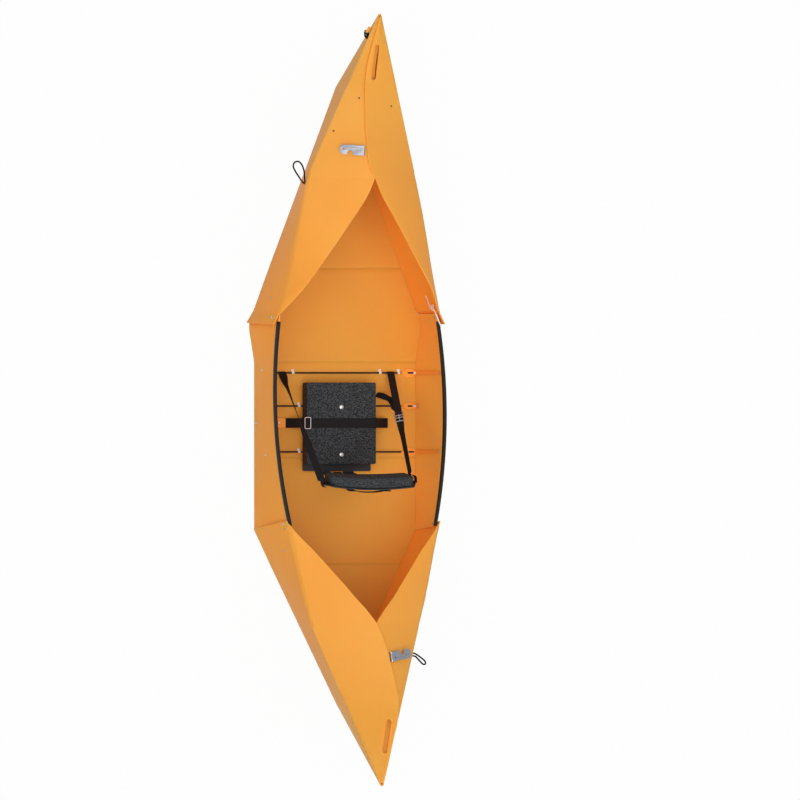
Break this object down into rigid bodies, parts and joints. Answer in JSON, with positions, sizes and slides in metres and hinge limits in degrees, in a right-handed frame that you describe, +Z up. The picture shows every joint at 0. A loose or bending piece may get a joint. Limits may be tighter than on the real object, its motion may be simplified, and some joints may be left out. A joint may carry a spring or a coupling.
{
  "type": "folding kayak",
  "caption": "Folding kayak bent from one orange plastic sheet, with lapped bow and stern decks held by latches, cross rods, a strapped foam seat and a folding backrest",
  "frame": {"origin": "under the middle of the hull, level with the underside of its flat floor", "axes": "X to starboard, Y to the bow, Z up"},
  "size_m": [0.7616, 3.05, 0.5233],
  "materials": {
    "hull_sheet": "fine satin grain with light scuffs",
    "black_plastic": "moulded, satin",
    "board": "grained board",
    "foam": "closed-cell foam, speckled",
    "webbing": "woven",
    "steel": "brushed",
    "light_metal": "satin"
  },
  "bodies": {
    "hull": {"bow_port_side": "hull_sheet", "bow_starboard_side": "hull_sheet", "stern_port_side": "hull_sheet", "stern_starboard_side": "hull_sheet", "floor_middle": "hull_sheet", "floor_fore": "hull_sheet", "floor_bow": "hull_sheet", "floor_stern": "hull_sheet", "port_wall": "hull_sheet", "starboard_wall": "hull_sheet", "front_brace": "hull_sheet", "rear_brace": "hull_sheet", "middle_brace": "hull_sheet", "port_brace": "hull_sheet", "port_gunwale_rail": "black_plastic", "starboard_gunwale_rail": "black_plastic", "front_rod": "black_plastic", "middle_rod": "black_plastic", "rear_rod": "black_plastic", "seat_board": "board", "seat_pad": "foam", "port_backrest_strap": "webbing", "starboard_backrest_strap": "webbing", "seat_strap": "webbing", "bow_cord_loop": "webbing", "stern_cord_loop": "webbing", "bow_port_lap_bolt": "steel", "bow_starboard_lap_bolt": "steel", "stern_port_lap_bolt": "steel", "stern_starboard_lap_bolt": "steel", "front_brace_bolt": "steel", "rear_brace_bolt": "steel", "middle_brace_bolt": "steel", "port_brace_bolt": "steel", "front_port_clip": "steel", "front_middle_clip": "steel", "front_starboard_clip": "steel", "middle_clip": "steel", "rear_clip": "steel", "backrest_hinge_pin": "steel", "front_seat_screw": "light_metal", "rear_seat_screw": "light_metal", "seat_strap_ring": "light_metal", "ladder_lock_buckle": "light_metal", "starboard_hook": "light_metal"},
    "bow_upper_flap": {"bow_starboard_flap": "hull_sheet"},
    "bow_lower_flap": {"bow_port_flap": "hull_sheet", "bow_latch_base": "steel", "bow_latch_pin": "steel"},
    "bow_latch": {"bow_latch_lever": "steel"},
    "stern_upper_flap": {"stern_port_flap": "hull_sheet"},
    "stern_lower_flap": {"stern_starboard_flap": "hull_sheet", "stern_latch_base": "steel", "stern_latch_pin": "steel"},
    "stern_latch": {"stern_latch_lever": "steel"},
    "backrest": {"backrest_board": "board", "backrest_pad": "foam", "backrest_rear_strap": "webbing", "rear_port_buckle": "black_plastic", "rear_starboard_buckle": "black_plastic"}
  },
  "joints": [
    {"name": "bow_deck", "type": "hinge", "parent": "hull", "child": "bow_upper_flap", "pos_m": [0.22295, 0.89975, 0.29413], "axis": [-0.3153, 0.9031, 0.2916], "range_deg": [0, 45]},
    {"name": "bow_deck_lower", "type": "hinge", "parent": "hull", "child": "bow_lower_flap", "pos_m": [-0.22295, 0.89975, 0.29413], "axis": [-0.3153, -0.9031, -0.2916], "range_deg": [0, 36]},
    {"name": "bow_latch_turn", "type": "hinge", "parent": "bow_lower_flap", "child": "bow_latch", "pos_m": [-0.04681, 0.98481, 0.44045], "axis": [0.0803, 0.9968, -0.0004], "range_deg": [0, 100]},
    {"name": "stern_deck", "type": "hinge", "parent": "hull", "child": "stern_upper_flap", "pos_m": [-0.22501, -0.89975, 0.33488], "axis": [0.3201, -0.9084, 0.269], "range_deg": [0, 45]},
    {"name": "stern_deck_lower", "type": "hinge", "parent": "hull", "child": "stern_lower_flap", "pos_m": [0.22501, -0.89975, 0.33488], "axis": [0.3201, 0.9084, -0.269], "range_deg": [0, 36]},
    {"name": "stern_latch_turn", "type": "hinge", "parent": "stern_lower_flap", "child": "stern_latch", "pos_m": [0.06665, -1.01415, 0.44999], "axis": [0.1524, -0.9883, -0.003], "range_deg": [0, 100]},
    {"name": "backrest_fold", "type": "hinge", "parent": "hull", "child": "backrest", "pos_m": [0, -0.29, 0.024], "axis": [-1, 0, 0], "range_deg": [0, 36]}
  ],
  "couplings": [
    {"joint": "bow_deck_lower", "follows": "bow_deck", "ratio": 0.8},
    {"joint": "stern_deck_lower", "follows": "stern_deck", "ratio": 0.8}
  ]
}
